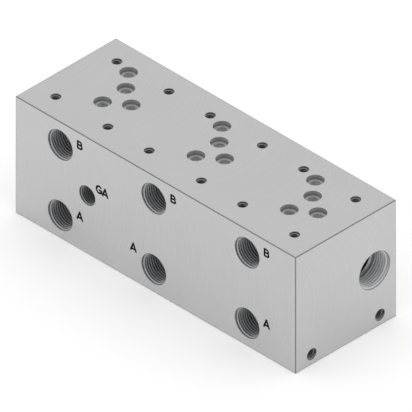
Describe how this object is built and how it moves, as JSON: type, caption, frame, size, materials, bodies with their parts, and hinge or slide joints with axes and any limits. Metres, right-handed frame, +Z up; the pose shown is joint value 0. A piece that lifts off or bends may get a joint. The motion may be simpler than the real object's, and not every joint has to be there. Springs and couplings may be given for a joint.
{
  "type": "valve manifold",
  "caption": "Bar manifold for directional valves in series: valve pads on top, threaded work ports in front, one taper port in each end.",
  "frame": {"origin": "centre of the underside", "axes": "+X along the bar towards the outlet end, +Y from the work-port face to the back, +Z up towards the valve face"},
  "size_m": [0.2476, 0.0888, 0.0889],
  "materials": {
    "machined_aluminium": "satin",
    "blackened_steel": "satin"
  },
  "bodies": {
    "root": {"manifold_block": "machined_aluminium", "plug_lower_link": "blackened_steel", "plug_upper_link": "blackened_steel", "plug_pressure_2": "blackened_steel", "plug_tank_2": "blackened_steel", "plug_pressure_3": "blackened_steel"}
  },
  "joints": []
}
